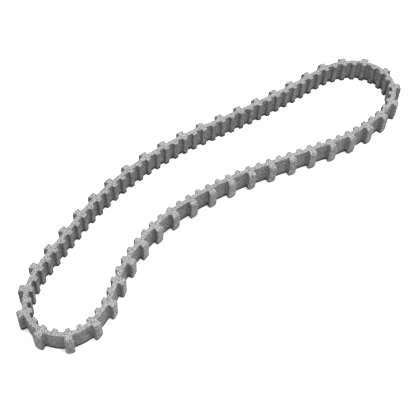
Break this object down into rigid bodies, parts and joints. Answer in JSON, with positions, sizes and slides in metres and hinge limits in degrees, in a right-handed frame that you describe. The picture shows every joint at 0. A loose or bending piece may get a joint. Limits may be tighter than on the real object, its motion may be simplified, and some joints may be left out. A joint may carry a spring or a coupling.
{
  "type": "toothed drive belt",
  "caption": "Endless rubber drive belt with narrow drive teeth inside and flared gripping lugs outside, standing on its edge in a long bent loop.",
  "frame": {"origin": "middle of the footprint, on the surface that the belt's lower edge stands on", "axes": "+Z across the belt's width, upwards; +X along the loop's long way, from the small end towards the large end; +Y towards the back run"},
  "size_m": [0.3988, 0.1076, 0.0191],
  "materials": {
    "band_rubber": "matt moulded grey rubber",
    "lug_rubber": "matt moulded grey rubber, a little lighter on the tips",
    "tooth_rubber": "matt moulded grey rubber",
    "cord_fibre": "twisted fibre cord, hidden inside the band"
  },
  "bodies": {
    "section_01": {"band_01": "band_rubber", "lugs_01": "lug_rubber", "teeth_01": "tooth_rubber", "cords_01": "cord_fibre"},
    "section_02": {"band_02": "band_rubber", "lugs_02": "lug_rubber", "teeth_02": "tooth_rubber", "cords_02": "cord_fibre"},
    "section_03": {"band_03": "band_rubber", "lugs_03": "lug_rubber", "teeth_03": "tooth_rubber", "cords_03": "cord_fibre"},
    "section_04": {"band_04": "band_rubber", "lugs_04": "lug_rubber", "teeth_04": "tooth_rubber", "cords_04": "cord_fibre"},
    "section_05": {"band_05": "band_rubber", "lugs_05": "lug_rubber", "teeth_05": "tooth_rubber", "cords_05": "cord_fibre"},
    "section_06": {"band_06": "band_rubber", "lugs_06": "lug_rubber", "teeth_06": "tooth_rubber", "cords_06": "cord_fibre"},
    "section_07": {"band_07": "band_rubber", "lugs_07": "lug_rubber", "teeth_07": "tooth_rubber", "cords_07": "cord_fibre"},
    "section_08": {"band_08": "band_rubber", "lugs_08": "lug_rubber", "teeth_08": "tooth_rubber", "cords_08": "cord_fibre"},
    "section_09": {"band_09": "band_rubber", "lugs_09": "lug_rubber", "teeth_09": "tooth_rubber", "cords_09": "cord_fibre"},
    "section_10": {"band_10": "band_rubber", "lugs_10": "lug_rubber", "teeth_10": "tooth_rubber", "cords_10": "cord_fibre"},
    "section_11": {"band_11": "band_rubber", "lugs_11": "lug_rubber", "teeth_11": "tooth_rubber", "cords_11": "cord_fibre"},
    "section_12": {"band_12": "band_rubber", "lugs_12": "lug_rubber", "teeth_12": "tooth_rubber", "cords_12": "cord_fibre"},
    "section_13": {"band_13": "band_rubber", "lugs_13": "lug_rubber", "teeth_13": "tooth_rubber", "cords_13": "cord_fibre"},
    "section_14": {"band_14": "band_rubber", "lugs_14": "lug_rubber", "teeth_14": "tooth_rubber", "cords_14": "cord_fibre"},
    "section_15": {"band_15": "band_rubber", "lugs_15": "lug_rubber", "teeth_15": "tooth_rubber", "cords_15": "cord_fibre"}
  },
  "joints": [
    {"name": "bend_05", "type": "hinge", "parent": "section_04", "child": "section_05", "pos_m": [0.03676, 0.03838, 0.00953], "axis": [0, 0, 1], "range_deg": [-2.75, 2.75]},
    {"name": "bend_06", "type": "hinge", "parent": "section_05", "child": "section_06", "pos_m": [0.09314, 0.02903, 0.00953], "axis": [0, 0, 1], "range_deg": [-2.29, 2.29]},
    {"name": "bend_07", "type": "hinge", "parent": "section_06", "child": "section_07", "pos_m": [0.15005, 0.02404, 0.00953], "axis": [0, 0, 1], "range_deg": [-1.63, 1.63]},
    {"name": "loop_squeeze", "type": "hinge", "parent": "section_07", "child": "section_08", "pos_m": [0.19148, -0.00893, 0.00953], "axis": [0, 0, 1], "range_deg": [-5, 5], "stiffness_Nm_per_rad": 0.05},
    {"name": "bend_09", "type": "hinge", "parent": "section_08", "child": "section_09", "pos_m": [0.15521, -0.04526, 0.00953], "axis": [0, 0, 1], "range_deg": [-1.17, 1.17]},
    {"name": "bend_10", "type": "hinge", "parent": "section_09", "child": "section_10", "pos_m": [0.09855, -0.04101, 0.00953], "axis": [0, 0, 1], "range_deg": [-2.08, 2.08]},
    {"name": "bend_11", "type": "hinge", "parent": "section_10", "child": "section_11", "pos_m": [0.04392, -0.02424, 0.00953], "axis": [0, 0, 1], "range_deg": [-3.19, 3.19]},
    {"name": "bend_04", "type": "hinge", "parent": "section_04", "child": "section_03", "pos_m": [-0.01982, 0.04594, 0.00953], "axis": [0, 0, 1], "range_deg": [-2.76, 2.76]},
    {"name": "bend_03", "type": "hinge", "parent": "section_03", "child": "section_02", "pos_m": [-0.07674, 0.04218, 0.00953], "axis": [0, 0, 1], "range_deg": [-0.8, 0.8]},
    {"name": "bend_02", "type": "hinge", "parent": "section_02", "child": "section_01", "pos_m": [-0.13174, 0.02694, 0.00953], "axis": [0, 0, 1], "range_deg": [-4.48, 4.48]},
    {"name": "bend_01", "type": "hinge", "parent": "section_01", "child": "section_15", "pos_m": [-0.18289, 0.00287, 0.00953], "axis": [0, 0, 1], "range_deg": [-2.11, 2.11]},
    {"name": "bend_15", "type": "hinge", "parent": "section_15", "child": "section_14", "pos_m": [-0.17475, -0.0437, 0.00953], "axis": [0, 0, 1], "range_deg": [-0.8, 0.8]},
    {"name": "bend_14", "type": "hinge", "parent": "section_14", "child": "section_13", "pos_m": [-0.12224, -0.0267, 0.00953], "axis": [0, 0, 1], "range_deg": [-2.25, 2.25]},
    {"name": "bend_13", "type": "hinge", "parent": "section_13", "child": "section_12", "pos_m": [-0.06843, -0.00857, 0.00953], "axis": [0, 0, 1], "range_deg": [-0.86, 0.86]}
  ],
  "couplings": [
    {"joint": "bend_05", "follows": "loop_squeeze", "ratio": -0.51018},
    {"joint": "bend_06", "follows": "loop_squeeze", "ratio": -0.41808},
    {"joint": "bend_07", "follows": "loop_squeeze", "ratio": 0.28669},
    {"joint": "bend_09", "follows": "loop_squeeze", "ratio": 0.19332},
    {"joint": "bend_10", "follows": "loop_squeeze", "ratio": -0.37688},
    {"joint": "bend_11", "follows": "loop_squeeze", "ratio": -0.59892},
    {"joint": "bend_04", "follows": "loop_squeeze", "ratio": 0.51151},
    {"joint": "bend_03", "follows": "loop_squeeze", "ratio": -0.12001},
    {"joint": "bend_02", "follows": "loop_squeeze", "ratio": -0.8556},
    {"joint": "bend_01", "follows": "loop_squeeze", "ratio": -0.3811},
    {"joint": "bend_15", "follows": "loop_squeeze", "ratio": -0.12},
    {"joint": "bend_14", "follows": "loop_squeeze", "ratio": 0.41004},
    {"joint": "bend_13", "follows": "loop_squeeze", "ratio": 0.13112}
  ]
}
